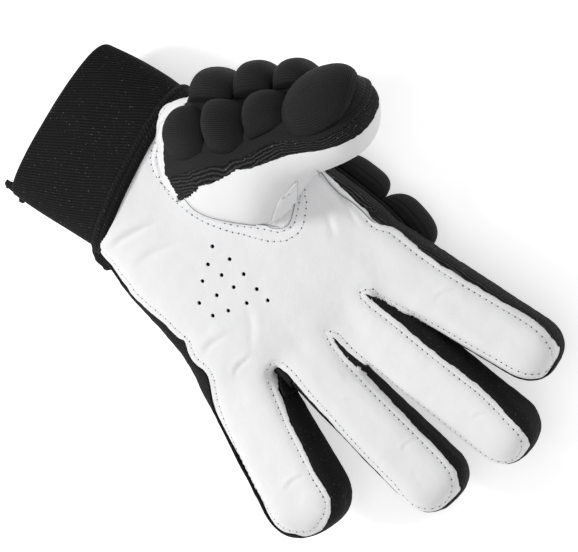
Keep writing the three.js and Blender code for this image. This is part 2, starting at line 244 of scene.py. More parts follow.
palmRows = rows("x y z width height turn roll", [
    (3.3, -59.5, 24, 73.5, 37, 6, 0), (1.6, -48, 24.5, 81.5, 35, 3, 0), (2, -29.5, 25, 91, 32, -2, 0),
    (3.3, -6.5, 26, 96.2, 30, -3, 0), (5.4, 14, 26, 101.7, 29, -6.5, 0), (6.9, 26, 26.5, 103.5, 27, -11.5, 0),
    (6, 36, 27, 96, 23, -20, 0)])
fingerRows = rows("name baseX baseY baseZ tipX tipY tipZ bow width tipWidth height roll round from", [
    ("index", -28.8, 22, 26, -39, 119.2, 28.5, 0, 27.7, 23.4, 22, 0, 13, 24),
    ("middle", -7.4, 20, 26, -5.9, 130.8, 28.5, 0, 25.8, 25.4, 22, 14, 13, 20),
    ("ring", 17.9, 20, 26, 29, 119, 28.5, 0.5, 23, 27.2, 22, -3, 13, 20),
    ("little", 37, 2, 25, 72, 84.8, 28.5, 0, 28.5, 35.2, 22, 12, 16, 12)])
thumbRows = rows("x y z width height turn roll gussetLow gussetHigh", [
    (-10.3, -58.6, 31, 12, 8, 47, 0, 34, 66), (-13.7, -53.1, 35, 36, 16, 47, 0, 34, 68),
    (-17.9, -44.5, 40, 46, 28, 47, 0, 43, 74), (-27, -32, 46, 52, 36, 47, 0, 69, 85),
    (-37.9, -19, 51, 50, 37, 46, 0, 82, 91), (-55.5, -11.3, 57, 37, 34, 44, 0, 62, 82),
    (-68.7, -0.9, 61.5, 33, 31, 42, 0, 53, 68), (-82.8, 9.2, 66, 28.5, 28, 42, 0, 40, 70)])
cuffRows = rows("x y z width height turn roll", [
    (8.6, -104.8, 21, 73.4, 33, 3, 0), (6.4, -90, 21.5, 75.2, 36.5, 3, 0),
    (4.4, -74, 22.3, 75.2, 38, 4, 0), (3.2, -59.9, 23.8, 73.5, 39, 6, 0)])


def blend(table, station):
    last = len(table) - 1
    i = min(max(math.floor(station), 0), last - 1)
    f = station - i
    before, start, end, after = table[max(i - 1, 0)], table[i], table[i + 1], table[min(i + 2, last)]
    row = {}
    for name in start:
        slopeStart = (end[name] - before[name]) / (2 if i > 0 else 1)
        slopeEnd = (after[name] - start[name]) / (2 if i + 1 < last else 1)
        row[name] = (start[name] + (end[name] - start[name]) * f * f * (3 - 2 * f)
                     + slopeStart * f * (1 - f) ** 2 - slopeEnd * f * f * (1 - f))
    return row


class Tube:
    def __init__(self, square, last, tipRound, stepLength):
        self.square, self.last, self.tipRound, self.stepLength = square, last, tipRound, stepLength
        self.cuts = {}

    def section(self, station):
        key = round(station, 5)
        if key not in self.cuts:
            self.cuts[key] = self.cut(station)
        return self.cuts[key]

    def cut(self, station):
        row, middle, ahead, halfWidth, halfHeight = self.place(station)
        turn, roll = math.radians(row["turn"]), math.radians(row["roll"])
        level = Vector((math.cos(turn), math.sin(turn), 0))
        raised = level.cross(ahead).normalized()
        side = level * math.cos(roll) - raised * math.sin(roll)
        up = raised * math.cos(roll) + level * math.sin(roll)
        return middle, side, up, halfWidth, halfHeight, ahead, row

    def rim(self, station, angle, lift=0.0, shrink=1.0):
        middle, side, up, halfWidth, halfHeight = self.section(station)[:5]
        c, s = math.cos(angle), math.sin(angle)
        across = (halfWidth + lift) * shrink * math.copysign(abs(c) ** (2 / self.square), c)
        high = (halfHeight + lift) * shrink * math.copysign(abs(s) ** (2 / self.square), s)
        return middle + side * across + up * high

    def places(self, steps, tipSteps=9):
        tip = self.tipRound / self.stepLength
        end = self.last - tip
        spots = [(end * i / steps, 1.0) for i in range(steps + 1)]
        if tip == 0:
            return spots
        for i in range(1, tipSteps + 1):
            reach = math.sin(i / tipSteps * math.pi / 2)
            spots.append((end + tip * reach, max(1 - reach ** 2.4, 0) ** (1 / 2.4)))
        return spots

    def frames(self, count, start, end):
        cuts = [self.section(start + (end - start) * i / (count - 1)) for i in range(count)]
        self.stations = np.linspace(start, end, count)
        self.middles, self.sides, self.ups = [np.array([cut[i] for cut in cuts]) for i in range(3)]
        self.halves = np.array([cut[3:5] for cut in cuts])
        self.aheads = np.array([cut[5] for cut in cuts])

    def locate(self, points):
        along = points @ self.aheads.T - np.einsum("ij,ij->i", self.middles, self.aheads)
        apart = ((points[:, None, :] - self.middles[None]) ** 2).sum(2)
        best = np.argmin(np.abs(along) + 0.002 * apart, axis=1)
        away = points - self.middles[best]
        half = self.halves[best]
        across = np.einsum("ij,ij->i", away, self.sides[best]) / half[:, 0]
        high = np.einsum("ij,ij->i", away, self.ups[best]) / half[:, 1]
        reach = (np.abs(across) ** self.square + np.abs(high) ** self.square) ** (1 / self.square)
        beyond = np.einsum("ij,ij->i", away, self.aheads[best])
        depth = (reach - 1) * half.min(axis=1)
        depth = np.where(np.abs(beyond) > 3, np.maximum(depth, np.abs(beyond)), depth)
        angle = np.degrees(np.arctan2(np.sign(high) * np.abs(high) ** (self.square / 2),
                                      np.sign(across) * np.abs(across) ** (self.square / 2))) % 360
        return {"station": self.stations[best], "across": across, "high": high, "depth": depth,
                "angle": angle}


class TableTube(Tube):
    def __init__(self, table, square, tipRound=0.0, stepLength=1.0):
        super().__init__(square, len(table) - 1, tipRound, stepLength)
        self.table = table

    def centre(self, station):
        row = blend(self.table, min(max(station, 0), self.last))
        return Vector((row["x"], row["y"], row["z"]))

    def place(self, station):
        held = min(max(station, 0), self.last)
        row = blend(self.table, held)
        ahead = (self.centre(held + 0.02) - self.centre(held - 0.02)).normalized()
        end = math.ceil(held) or 1
        step = (self.centre(end) - self.centre(end - 1)).length
        middle = self.centre(held) + ahead * ((station - held) * step)
        return row, middle, ahead, row["width"] / 2, row["height"] / 2


class FingerTube(Tube):
    def __init__(self, finger):
        self.base = Vector((finger["baseX"], finger["baseY"], finger["baseZ"]))
        self.tip = Vector((finger["tipX"], finger["tipY"], finger["tipZ"]))
        super().__init__(3.8, 1, finger["round"], (self.tip - self.base).length)
        run = self.tip - self.base
        self.sideways = Vector((run.y, -run.x, 0)).normalized()
        self.finger = {**finger, "turn": math.degrees(math.atan2(run.y, run.x)) - 90}

    def centre(self, station):
        bow = self.finger["bow"] * 4 * station * (1 - station)
        return self.base.lerp(self.tip, station) + self.sideways * bow

    def place(self, station):
        finger = self.finger
        ahead = (self.centre(station + 0.01) - self.centre(station - 0.01)).normalized()
        halfWidth = (finger["width"] + (finger["tipWidth"] - finger["width"]) * station) / 2
        return finger, self.centre(station), ahead, halfWidth, finger["height"] / 2


palmTube = TableTube(palmRows, 3)
cuffTube = TableTube(cuffRows, 2.4)
thumbTube = TableTube(thumbRows, 2.2, 14, 17)
fingerTubes = [FingerTube(finger) for finger in fingerRows]


# Mesh tools, all in millimetres until a piece is finished

def gridMesh(columns, count, place, weave=None):
    bm = bmesh.new()
    bmesh.ops.create_grid(bm, x_segments=columns, y_segments=count, size=1)
    if weave:
        layer = bm.loops.layers.uv.new("weave")
        for face in bm.faces:
            for loop in face.loops:
                loop[layer].uv = weave((loop.vert.co.x + 1) / 2, (loop.vert.co.y + 1) / 2)
    for vert in bm.verts:
        vert.co = place((vert.co.x + 1) / 2, (vert.co.y + 1) / 2)
    return bm


def writeLayer(bm, name, values):
    layer = bm.verts.layers.float.new(name)
    for vert, value in zip(bm.verts, values):
        vert[layer] = value
    return layer


def readLayer(bm, name):
    layer = bm.verts.layers.float[name]
    return np.array([vert[layer] for vert in bm.verts])


def joined(bm, other):
    mesh = bpy.data.meshes.new("joined")
    other.to_mesh(mesh)
    other.free()
    bm.from_mesh(mesh)


def closeUp(bm):
    bmesh.ops.remove_doubles(bm, verts=bm.verts, dist=0.001)
    bmesh.ops.dissolve_degenerate(bm, dist=0.0001, edges=bm.edges)
    bmesh.ops.recalc_face_normals(bm, faces=bm.faces)


def tubeMesh(tube, spots, around):
    spots = [(spots[0][0], 0.0), *spots]
    if spots[-1][1] > 0:
        spots.append((spots[-1][0], 0.0))

    def place(u, v):
        station, shrink = spots[round(v * (len(spots) - 1))]
        return tube.rim(station, u * 2 * math.pi, 0.0, shrink)
    bm = gridMesh(around, len(spots) - 1, place)
    closeUp(bm)
    return bm


def coordinates(bm):
    return np.array([vert.co for vert in bm.verts])


def toObject(bm, name):
    mesh = bpy.data.meshes.new(name)
    bm.to_mesh(mesh)
    bm.free()
    piece = bpy.data.objects.new(name, mesh)
    scene.collection.objects.link(piece)
    return piece


def applied(piece):
    shown = piece.evaluated_get(bpy.context.evaluated_depsgraph_get())
    mesh = bpy.data.meshes.new_from_object(shown)
    piece.modifiers.clear()
    piece.data = mesh
    return piece


def finishPiece(bm, name, material, nodes, solid=0.0):
    piece = toObject(bm, name)
    if solid:
        wall = piece.modifiers.new("wall", "SOLIDIFY")
        wall.thickness = solid
        wall.offset = -1
        wall.use_quality_normals = True
        applied(piece)
    for vert in piece.data.vertices:
        vert.co.z = max(vert.co.z, 0)
    piece.data.transform(Matrix.Scale(mm, 4))
    piece.data.materials.clear()
    piece.data.materials.append(material)
    piece.data.shade_smooth()
    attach(piece, "root")
    if nodes:
        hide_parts(*nodes)
    print(piece.name, len(piece.data.polygons), "faces")


def cutAlong(bm, name, within=None):
    layer = bm.verts.layers.float[name]
    guard = bm.verts.layers.float[within] if within else None
    crossing = {}
    for edge in bm.edges:
        first, second = edge.verts
        a, b = first[layer], second[layer]
        if a * b < 0 and (guard is None or max(first[guard], second[guard]) > -1):
            crossing[edge] = min(max(a / (a - b), 0.02), 0.98)
    made = bmesh.ops.bisect_edges(bm, edges=list(crossing), cuts=1, edge_percents=crossing)
    verts = [item for item in made["geom_split"] if isinstance(item, bmesh.types.BMVert)]
    bmesh.ops.connect_verts(bm, verts=verts)


def ripples(points, waves):  # each wave is its height, its length and a seed
    total = 0
    for height, length, seed in waves:
        shift = Vector((seed, seed * 1.7, 0))
        total = total + height * np.array([noise.noise(Vector(p) / length + shift) for p in points])
    return total


class PlanField:
    def __init__(self, line, step=1.0, margin=12):
        start = np.array(line, float)
        self.low, self.step = start.min(0) - margin, step
        counts = np.ceil((start.max(0) + margin - self.low) / step).astype(int) + 2
        xs, ys = [self.low[i] + step * np.arange(counts[i]) for i in range(2)]
        self.grid = np.stack([self.signed(start, np.stack([np.full(len(ys), x), ys], 1)) for x in xs])

    def signed(self, start, points):
        run = np.roll(start, -1, axis=0) - start
        flat = points[:, None] - start[None]
        t = np.clip((flat * run).sum(2) / np.maximum((run ** 2).sum(1), 1e-9), 0, 1)
        near = np.sqrt(((flat - t[..., None] * run) ** 2).sum(2)).min(1)
        x, y = points[:, 0:1], points[:, 1:2]
        straddles = (start[:, 1] > y) != (start[:, 1] + run[:, 1] > y)
        rise = np.where(run[:, 1] == 0, 1e-9, run[:, 1])
        crossed = straddles & (x < start[:, 0] + (y - start[:, 1]) * run[:, 0] / rise)
        return np.where(crossed.sum(1) % 2 == 1, near, -near)

    def __call__(self, points):
        spot = np.clip((points[:, :2] - self.low) / self.step, 0, np.array(self.grid.shape) - 1.001)
        i, j = spot.astype(int).T
        f, g = (spot % 1).T
        cells = self.grid
        return ((cells[i, j] * (1 - f) + cells[i + 1, j] * f) * (1 - g)
                + (cells[i, j + 1] * (1 - f) + cells[i + 1, j + 1] * f) * g)


def smoothLine(points, closed, step):
    points = [Vector((*point, 0)[:3]) for point in points]  # a point seen from above gets height 0
    line = []
    count = len(points)
    for i in range(count if closed else count - 1):
        a, b, c, d = [points[j % count] if closed else points[min(max(j, 0), count - 1)]
                      for j in (i - 1, i, i + 1, i + 2)]
        pieces = max(int((c - b).length / step), 1)
        for k in range(pieces):
            t = k / pieces
            line.append(0.5 * (2 * b + (c - a) * t + (2 * a - 5 * b + 4 * c - d) * t * t
                               + (3 * b - a - 3 * c + d) * t ** 3))
    return line if closed else line + [points[-1]]


# Pattern of the leather palm, as corners seen from above

palmEdges = {
    "thumbSide": [(-34, -66), (-37, -55), (-40, -40), (-43, -22), (-44.2, -6), (-43.7, 4.2), (-42.8, 12.7),
                  (-42.1, 23.5), (-41.2, 30.9), (-42.9, 35.6)],
    "indexOuter": [(-43.3, 41), (-43.3, 50.5), (-43.8, 61.4), (-45.7, 78.7), (-46.8, 87.8), (-48.6, 104.2),
                   (-47.7, 111.8), (-45.2, 117), (-41.5, 120), (-37.5, 121), (-33.5, 119.6), (-29.5, 115.5)],
    "indexInner": [(-27.3, 110), (-26.2, 104), (-25.1, 97), (-23.3, 86), (-21.6, 75), (-19.5, 64.5),
                   (-18.4, 57.8), (-17.5, 50), (-17.2, 43.3)],
    "middleOuter": [(-15.9, 46.1), (-15.6, 53), (-15.5, 63.6), (-15.2, 77.8), (-15.1, 91.7), (-15.2, 103),
                    (-14.2, 112.7), (-13.3, 118.4), (-12, 125), (-9.5, 129), (-6, 131), (-2, 131.5),
                    (2, 130.5), (5, 128), (7.2, 123.5)],
    "middleInner": [(8.2, 117), (8.2, 107), (8.2, 96), (8.3, 86.9), (8.2, 77.2), (7.9, 68), (7.5, 59),
                    (6.8, 51), (5.8, 46), (4.7, 42.4)],
    "ringOuter": [(5.1, 41.8), (6.8, 45), (8.6, 50), (9.9, 56), (11.2, 64.3), (12.1, 71), (13.1, 80),
                  (14.4, 92), (15.5, 101.4), (16.6, 108.5), (18.5, 114), (22, 117.5), (26, 119.4),
                  (31, 119.6), (35.5, 118), (39, 114.5), (41.2, 109.5), (41, 104)],
    "ringInner": [(39.3, 98), (38.2, 90), (37, 80), (35.6, 71), (34.2, 64), (32.8, 56), (31, 46),
                  (29.4, 39.5), (29, 34.5), (29.9, 31.5)],
    "littleOuter": [(33.5, 32), (36.5, 36), (41, 44), (45.1, 51.5), (49, 60), (53, 68.5), (57, 78.5),
                    (60, 82), (64.5, 84), (70.5, 84.3), (75.5, 83.2), (79, 80.5), (81.8, 76.5), (83.2, 72.5)],
    "littleInner": [(83.2, 67), (81.4, 61), (79, 54.5), (76, 47.4), (72.5, 40), (68.5, 33.1), (64, 25.5),
                    (59, 18.8), (54.5, 14.6), (51, 11.5)],
    "littleSide": [(49.9, 8.4), (49.8, 3), (48.8, 0.3), (47, -2.4), (45, -4.6), (45.7, -8), (45.2, -11.6),
                   (44.8, -17), (44.8, -25), (44.6, -31), (43.8, -35.7), (42.6, -38.6), (42.4, -42),
                   (41.3, -45.5), (39.8, -48.8), (39.7, -51.9), (39, -56), (37.5, -62), (35, -66)],
}
holeEdge = [(-14, -58.5), (-8, -56.3), (-4.5, -51.5), (-3, -45), (-2.6, -37.7), (-2.7, -31.7), (-4, -24.5),
            (-7.5, -16.1), (-10.8, -10.2), (-14.1, -4.5), (-15.6, -1.2), (-17.6, 1.7), (-20.3, 2.9),
            (-24.4, 2), (-29.4, -0.5), (-33.2, -3.2), (-36.5, -6.5), (-41, -14), (-42, -26), (-39, -40),
            (-33, -52), (-24, -59)]
holeStitches = [(-14.9, -59), (-10.1, -56.8), (-5.6, -53), (-2.1, -48.4), (-0.2, -44), (0.6, -38), (0.7, -31),
                (-0.3, -24), (-3.2, -15), (-5.5, -10), (-7.7, -4.4), (-10.1, 0.7), (-13.2, 4.8), (-15.6, 6.7),
                (-19.7, 8.2), (-24.2, 7.7), (-30.5, 4.3), (-33.5, 1.2), (-36.1, -0.5), (-38.5, -3.3)]
vents = [(5.8, -16.8), (5.6, -8.1), (12.8, -14.1), (12.8, -7.1), (6.9, 0), (19.7, -12.1), (13.7, -0.3),
         (8.5, 7.8), (20.7, -4.1), (9.4, 14), (27.8, -8.2), (15.6, 7.7), (22.8, 3.3), (28.4, -0.7)]
leather = {"thickness": 1.0, "lift": 0.45, "margin": 2.1, "groove": 0.28, "grooveWidth": 0.7, "puff": 0.2,
           "puffFade": 12, "ventRadius": 0.84, "rolledIn": 0.35, "hemGroove": 0.7, "hemAt": 1.7,
           "hemWidth": 0.35, "hemFrom": -32, "hemTo": 19, "hemLeftOf": -30, "flatEdge": 3,
           "waves": [(0.4, 22, 1), (0.2, 7, 5), (0.09, 2.6, 9)], "thumbWaves": [(0.3, 16, 2), (0.12, 5, 4)],
           "edgeWaves": [(0.22, 1.6, 3), (0.3, 6, 8)], "fineEdge": 2, "fineHole": 1.8, "fineVent": 1.6,
           "thumbLift": 0.25, "thumbDip": 0.7, "thumbDipWidth": 1.2}


outline = smoothLine([corner for edge in palmEdges.values() for corner in edge], True, 1.0)
outerField = PlanField([point[:2] for point in outline])
holeLine = smoothLine(holeEdge, True, 1.0)
holeField = PlanField([point[:2] for point in holeLine])


# The hand: one smooth form of palm, fingers and thumb, cut along its seams

formMesh = {"voxel": 0.9, "smoothings": 5, "crotchSmoothings": 45, "crotchAbove": 32, "crotchInside": 0.6,
            "crotchFrom": 8, "crotchTo": 62}
webs = rows("x y z width length height pitch", [
    (-16.8, 36, 28.4, 13, 21, 20.4, 0), (6, 44, 26.8, 16, 28, 20.4, 10), (31, 20.5, 33, 12, 20, 11, 0)])


def flattened(form):
    skin = bmesh.new()
    skin.from_mesh(form.data)
    points = coordinates(skin)
    y, z = points[:, 1], points[:, 2]
    crotch = ((z > formMesh["crotchAbove"]) & (outerField(points) > formMesh["crotchInside"])
              & (y > formMesh["crotchFrom"]) & (y < formMesh["crotchTo"]))
    skin.verts.ensure_lookup_table()
    verts = [skin.verts[i] for i in np.nonzero(crotch)[0]]
    for i in range(formMesh["crotchSmoothings"]):
        bmesh.ops.smooth_vert(skin, verts=verts, factor=0.5, use_axis_x=True, use_axis_y=True,
                              use_axis_z=True)
    bpy.data.objects.remove(form)
    return skin


def makeForm():
    bm = tubeMesh(palmTube, palmTube.places(24) + [(6.04, 0.9)], 96)
    parts = [tubeMesh(tube, tube.places(30), 72) for tube in fingerTubes]
    parts.append(tubeMesh(thumbTube, thumbTube.places(40), 72))
    for row in webs:
        block = bmesh.new()
        size = Matrix.Diagonal((row["width"], row["length"], row["height"], 1))
        tilt = Matrix.Rotation(math.radians(-row["pitch"]), 4, "X")
        place = Matrix.Translation((row["x"], row["y"], row["z"])) @ tilt
        bmesh.ops.create_cube(block, size=1, matrix=place @ size)
        parts.append(block)
    for part in parts:
        joined(bm, part)
    form = toObject(bm, "handForm")
    remesh = form.modifiers.new("remesh", "REMESH")
    remesh.mode = "VOXEL"
    remesh.voxel_size = formMesh["voxel"]
    soften = form.modifiers.new("soften", "SMOOTH")
    soften.factor = 0.5
    soften.iterations = formMesh["smoothings"]
    applied(form)
    return flattened(form)


palmTube.frames(61, 0, 6.0)
thumbTube.frames(71, 0, 7.0)
for tube in fingerTubes:
    tube.frames(61, 0, 1.0)


def handCoordinates(points):
    best = palmTube.locate(points)
    which = np.zeros(len(points), int)
    for i, tube in enumerate(fingerTubes):
        spot = tube.locate(points)
        nearer = (spot["depth"] < best["depth"]) & (points[:, 1] > tube.finger["from"])
        which[nearer] = i + 1
        for name in best:
            best[name] = np.where(nearer, spot[name], best[name])
    best["which"] = which
    return best


seams = {"padHeading": math.radians(145), "thumbLead": 5, "holeAbove": 34, "perStation": 12, "padReach": 17,
         "thumbAngles": [30, 55, 73, 109, 143, 174, 210, 250],
         "thumbStarts": [1.9, 2.12, 1.87, 1.82, 2.4, 2.4, 2.4, 2.0],
         "backLow": ([5.6, 6.4], [0.33, -0.12]), "backHigh": 0.34,
         "palmShoulder": -0.1, "fingerShoulder": 0.3, "heel": 0.45, "heelBelow": -25, "littleOuter": 0.42,
         "outerFrom": 0.5, "shoulderReach": 9, "sideFrom": -0.42, "sideReach": 10}


def thumbFields(points, hole):
    thumb = thumbTube.locate(points)
    over = palmTube.locate(points)["depth"] - thumb["depth"] - seams["thumbLead"]
    inside = np.maximum(over, np.where(points[:, 2] > seams["holeAbove"], hole, -9))
    first = np.interp(thumb["angle"], seams["thumbAngles"], seams["thumbStarts"])
    fields = {"thumbIn": np.minimum(inside, (thumb["station"] - first) * seams["perStation"])}
    c, s = math.cos(seams["padHeading"]), math.sin(seams["padHeading"])
    padWard = thumb["across"] * c + thumb["high"] * s
    frontWard = np.clip(0.5 + 1.2 * (thumb["across"] * s - thumb["high"] * c), 0, 1)
    backLow = np.interp(thumb["station"], *seams["backLow"])
    for name, edge, back in [("aboveLow", "gussetLow", backLow),
                             ("aboveHigh", "gussetHigh", seams["backHigh"])]:
        fronts = [math.cos(seams["padHeading"] - math.radians(row[edge])) for row in thumbRows]
        front = np.interp(thumb["station"], np.arange(len(thumbRows)), fronts)
        fields[name] = (padWard - front * frontWard - back * (1 - frontWard)) * seams["padReach"]
    return fields


def seamFields(points):
    hand = handCoordinates(points)
    fields = thumbFields(points, holeField(points))
    ragged = ripples(points, leather["edgeWaves"])
    outer = hand["across"] > seams["outerFrom"]
    heel = (hand["which"] == 0) & outer & (points[:, 1] < seams["heelBelow"])
    shoulder = (hand["high"] - np.where(hand["which"] > 0, seams["fingerShoulder"], seams["palmShoulder"])
                - np.where(heel, seams["heel"], 0)
                - np.where((hand["which"] == 4) & outer, seams["littleOuter"], 0)) * seams["shoulderReach"]
    return {**fields, "aboveLow": fields["aboveLow"] + ragged, "handOnly": -fields["thumbIn"],
            "leatherIn": np.minimum(outerField(points), shoulder) + ragged,
            "sideIn": (hand["high"] - seams["sideFrom"]) * seams["sideReach"],
            "across": hand["across"], "finger": hand["which"].astype(float)}


setCamera()
setRoom()
print("room ready")
leatherLook = leatherFinish()
padLook = padFinish("padFabric", True)
baseLook = padFinish("padBaseFabric", False)
stretchLook = stretchFinish("stretchFabric", 0.003, 0.02)
ribLook = ribFinish("ribFabric", 0.002, 0.06, 0.6)
elasticLook = ribFinish("elasticRib", 0.0005, 0.017, 0.3)
threadLook = plainFinish("whiteThread", 0.7, 0.85, 0.6)
holeShadeLook = plainFinish("needleHoleShade", 0.03, 0.10, 0.8)
seamShadowLook = plainFinish("seamShadow", 0.16, 0.34, 0.8)

bm = makeForm()
print("form", len(bm.faces), "faces")
for name, values in seamFields(coordinates(bm)).items():
    writeLayer(bm, name, values)
formSurface = BVHTree.FromBMesh(bm)
cutAlong(bm, "thumbIn")
cutAlong(bm, "leatherIn", "handOnly")
cutAlong(bm, "sideIn", "handOnly")
for name in ("aboveLow", "aboveHigh"):
    cutAlong(bm, name, "thumbIn")
layers = {name: bm.verts.layers.float[name] for name in
          ("thumbIn", "leatherIn", "sideIn", "aboveLow", "aboveHigh", "across", "finger")}


def seamName(face):
    total = {name: sum(vert[layer] for vert in face.verts) for name, layer in layers.items()}
    if total["thumbIn"] > 0:
        if total["aboveLow"] < 0:
            return "thumbLeather"
        return "thumbGusset" if total["aboveHigh"] < 0 else "thumbPadBase"
    if total["leatherIn"] > 0:
        return "palmLeather"
    if total["sideIn"] < 0:
        return "backFabric"
    finger, thumbSide = round(face.verts[0][layers["finger"]]), total["across"] < 0
    if thumbSide and finger < 2:
        return "thumbSideGusset"
    if not thumbSide and finger in (0, 4):
        return "littleSideStrip"
    betweens = ["fourchetteIndexMiddle", "fourchetteMiddleRing", "fourchetteRingLittle"]
    return betweens[min(max(finger - thumbSide - 1, 0), 2)]


names = np.array([seamName(face) for face in bm.faces])
print({name: int((names == name).sum()) for name in sorted(set(names))})


def panel(name):
    piece = bm.copy()
    piece.faces.ensure_lookup_table()
    gone = [piece.faces[i] for i in np.nonzero(names != name)[0]]
    bmesh.ops.delete(piece, geom=gone, context="FACES")
    return piece


def lifted(piece, amounts, rise=1.0):
    piece.normal_update()
    for vert, amount in zip(piece.verts, amounts):
        vert.co += Vector((vert.normal.x, vert.normal.y, vert.normal.z * rise)) * amount


folds = rows("x y endX endY depth width", [
    (33.7, -53.8, 10.8, -44.8, 0.55, 2), (32.7, -41.8, 10.5, -32.5, 0.3, 2.4), (44.6, 2.3, 29.3, 4.9, 0.4, 2),
    (44.1, 18.6, 31.0, 18.4, 0.4, 1.4), (24.0, 61.0, 20.0, 63.6, 0.35, 0.6), (68.4, 62.9, 54.9, 64.4, 0.4, 1),
    (13.2, 8.8, 27.5, 24.2, 0.25, 2.5), (-38.6, 5.0, -30.3, 24.1, 0.4, 2.4),
    (-42.8, 8.0, -38.4, 28.3, 0.3, 1.6), (25.1, 91.5, 17.0, 91.6, 0.3, 1),
    (-31.1, 66.5, -41.5, 69.8, 0.3, 1.2), (-3.7, 106.4, -10.8, 109.1, 0.28, 1)])


def bell(distances, width):
    return np.exp(-(distances / width) ** 2)


def foldLift(points):
    total = np.zeros(len(points))
    for fold in folds:
        start, width = np.array([fold["x"], fold["y"]]), fold["width"]
        run = np.array([fold["endX"] - fold["x"], fold["endY"] - fold["y"]])
        away = points[:, :2] - start
        along = away @ run / (run @ run)
        aside = (away[:, 0] * run[1] - away[:, 1] * run[0]) / math.sqrt(run @ run) + 0.8 * np.sin(along * 5)
        fade = np.clip(1 - (2 * along - 1) ** 2, 0, 1)
        ridge = bell(aside, width)
        hollow = 1.3 * bell(aside - 1.3 * width, 0.6 * width)
        total += fold["depth"] * fade * (ridge - hollow)
    return total


def leatherLift(points):
    hole, x, y = holeField(points), points[:, 0], points[:, 1]
    d = np.abs(np.minimum(outerField(points), -hole))
    inner = np.clip((d - leather["margin"]) / 4, 0, 1)
    puff = leather["puff"] * inner * np.exp(-np.clip(d - 7, 0, 40) / leather["puffFade"])
    groove = leather["groove"] * bell(d - leather["margin"], leather["grooveWidth"])
    groove -= leather["rolledIn"] * np.clip(1 + hole / 1.5, 0, 1) * (hole < 0.5)
    hem = (x < leather["hemLeftOf"]) & (y > leather["hemFrom"]) & (y < leather["hemTo"])
    groove += hem * leather["hemGroove"] * bell(d - leather["hemAt"], leather["hemWidth"])
    waves = ripples(points, leather["waves"]) * np.clip(d / leather["flatEdge"], 0.25, 1)
    return leather["lift"] + puff - groove + waves + foldLift(points)


def seen(x, y, lift):
    hit, normal = formSurface.ray_cast(eyePlace, (Vector((x, y, 50)) - eyePlace).normalized())[:2]
    return hit + normal * lift


# A thin dark tube laid along a line: the painted shadow of a seam or fold.
def seam(line, lift, radius):
    points = [seen(point.x, point.y, lift) for point in smoothLine(line, False, 0.6)]
    last = len(points) - 1

    def place(u, v):
        i = round(u * last)
        run = (points[min(i + 1, last)] - points[max(i - 1, 0)]).normalized()
        side = run.cross(eyeAxes[2]).normalized()
        taper = radius * min(1, 0.15 + min(i, last - i) / 4)
        turn = v * 2 * math.pi
        return points[i] + (side * math.cos(turn) + run.cross(side) * math.sin(turn)) * taper
    piece = gridMesh(last, 6, place)
    closeUp(piece)
    return piece


def refine(piece, near, cuts):
    piece.verts.index_update()
    marks = near(coordinates(piece))
    edges = [edge for edge in piece.edges if marks[edge.verts[0].index] and marks[edge.verts[1].index]]
    bmesh.ops.subdivide_edges(piece, edges=edges, cuts=cuts, use_grid_fill=True)


def ventDistance(points):
    apart = points[:, None, :2] - np.array(vents)[None]
    return np.sqrt((apart ** 2).sum(2)).min(1) - leather["ventRadius"]


palm = panel("palmLeather")
refine(palm, lambda p: (outerField(p) < leather["fineEdge"])
       | (np.abs(holeField(p)) < leather["fineHole"]), 1)
refine(palm, lambda p: ventDistance(p) < leather["fineVent"], 2)
ventLayer = writeLayer(palm, "vent", ventDistance(coordinates(palm)))
cutAlong(palm, "vent")
gone = [face for face in palm.faces if sum(vert[ventLayer] for vert in face.verts) < 0]
bmesh.ops.delete(palm, geom=gone, context="FACES")
lifted(palm, leatherLift(coordinates(palm)))
palmSurface = BVHTree.FromBMesh(palm)
finishPiece(palm, "palmLeather", leatherLook, ["palm_leather"], leather["thickness"])

thumbSkin = panel("thumbLeather")
inward = readLayer(thumbSkin, "thumbIn")  # from the seam round the thumb opening
dip = leather["thumbDip"] * np.exp(-inward / leather["thumbDipWidth"])
lifted(thumbSkin, leather["thumbLift"] - dip + ripples(coordinates(thumbSkin), leather["thumbWaves"]))
finishPiece(thumbSkin, "thumbLeather", leatherLook, ["thumb_leather"], leather["thickness"])

gusset = {"pitch": 0.95, "rib": 0.3, "lift": 0.2, "sidePitch": 1.0, "sideLift": 0.6, "fineAbove": 24,
          "thickness": 1.0, "waves": [(0.8, 7, 2), (0.3, 2.5, 4)]}

for name, node, edge, pitch, raised in [
        ("thumbGusset", "thumb_rib_gusset", "aboveHigh", gusset["pitch"], gusset["lift"]),
        ("thumbSideGusset", "thumb_side_gusset", "sideIn", gusset["sidePitch"], gusset["sideLift"])]:
    piece = panel(name)
    refine(piece, lambda p: p[:, 2] > gusset["fineAbove"], 2)
    phase = readLayer(piece, edge) / pitch + ripples(coordinates(piece), gusset["waves"])
    # The rib phase sets the rib height. Through the "relief" layer it also paints the rib tops lighter and
    # the valleys darker.
    reliefs = 0.5 + 0.5 * np.cos(2 * math.pi * phase)
    writeLayer(piece, "relief", reliefs)
    lifted(piece, raised + gusset["rib"] * reliefs)
    finishPiece(piece, name, ribLook, [node], gusset["thickness"])

padMargin = {"fineUpTo": 5, "lift": 0.9, "grooveAt": 3.2, "groove": 0.35, "edgeAt": 0.7, "edge": 0.25,
             "thickness": 1.2}
padBase = panel("thumbPadBase")
fromEdge = readLayer(padBase, "aboveHigh")
refine(padBase, lambda p: fromEdge < padMargin["fineUpTo"], 1)
fromEdge = readLayer(padBase, "aboveHigh")
relief = (padMargin["lift"] - padMargin["groove"] * bell(fromEdge - padMargin["grooveAt"], 0.5)
          + padMargin["edge"] * bell(fromEdge - padMargin["edgeAt"], 0.7))
lifted(padBase, relief)
finishPiece(padBase, "thumbPadBase", baseLook, ["thumb_pad_base"], padMargin["thickness"])

